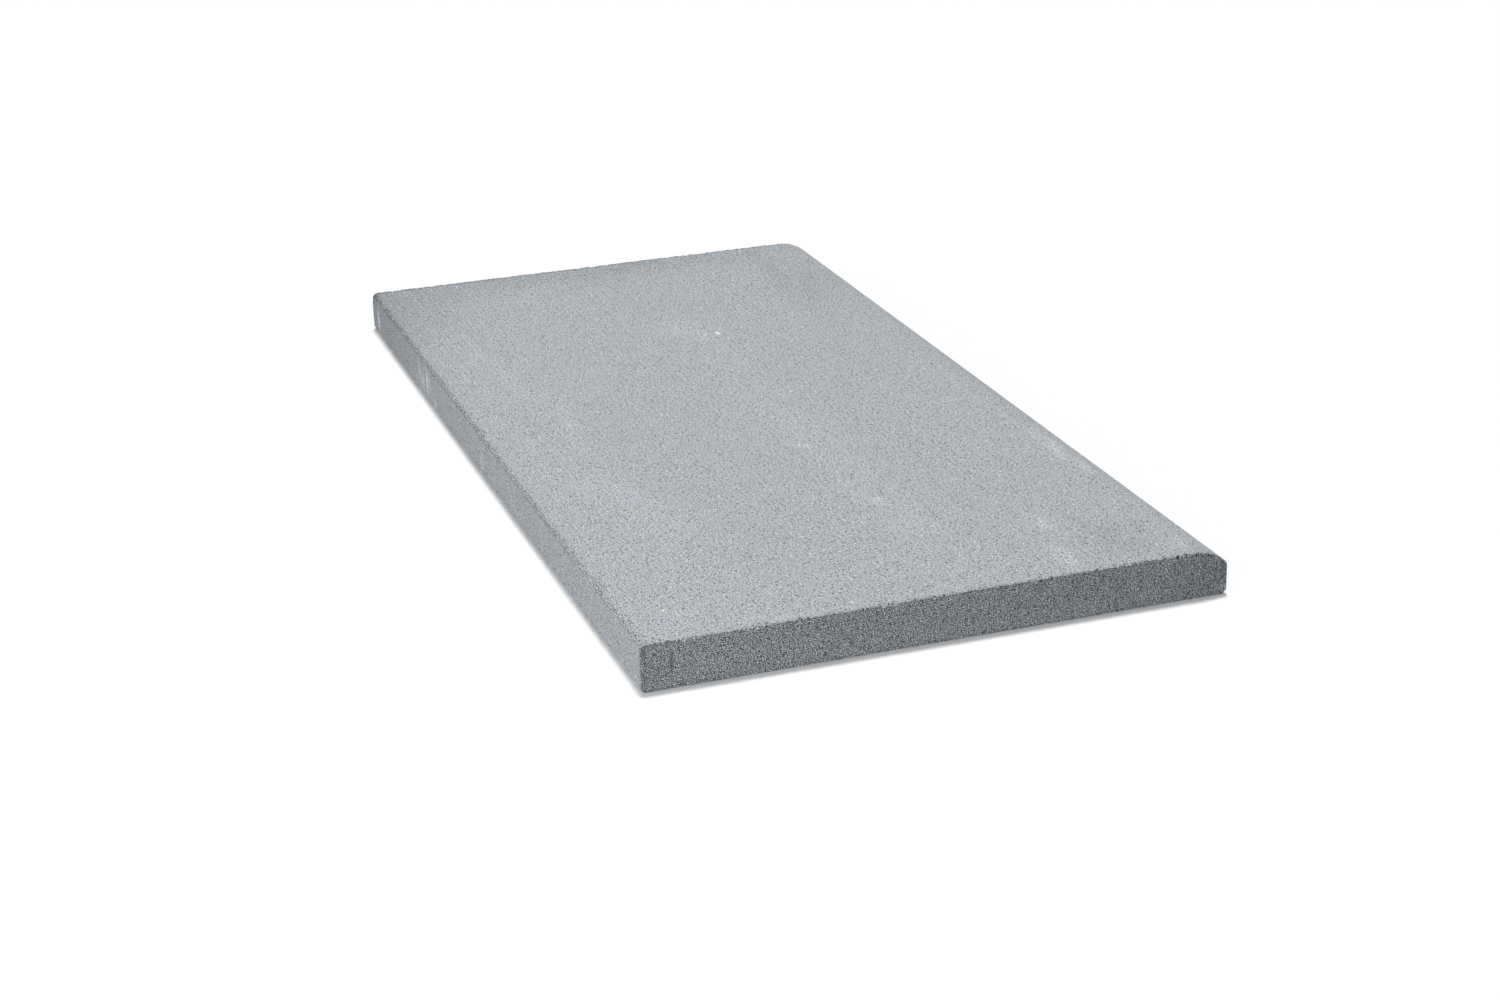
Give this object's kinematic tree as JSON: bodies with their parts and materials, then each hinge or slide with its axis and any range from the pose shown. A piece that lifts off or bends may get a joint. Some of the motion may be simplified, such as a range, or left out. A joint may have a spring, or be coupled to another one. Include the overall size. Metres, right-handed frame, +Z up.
{
  "type": "concrete paving slab",
  "caption": "Flat rectangular concrete paving slab with one long top edge curved into a nosing, a small rounding on the other and square-cut ends, laid flat on its bed.",
  "frame": {"origin": "middle of the bed face, which lies on the ground", "axes": "+X across the slab towards the nosed long side, +Y along its length, +Z up out of the walking face"},
  "size_m": [0.5, 1, 0.04],
  "materials": {
    "grey_concrete": "matt pressed fine concrete, sandy, blue-grey"
  },
  "bodies": {
    "root": {"paving_slab": "grey_concrete"}
  },
  "joints": []
}
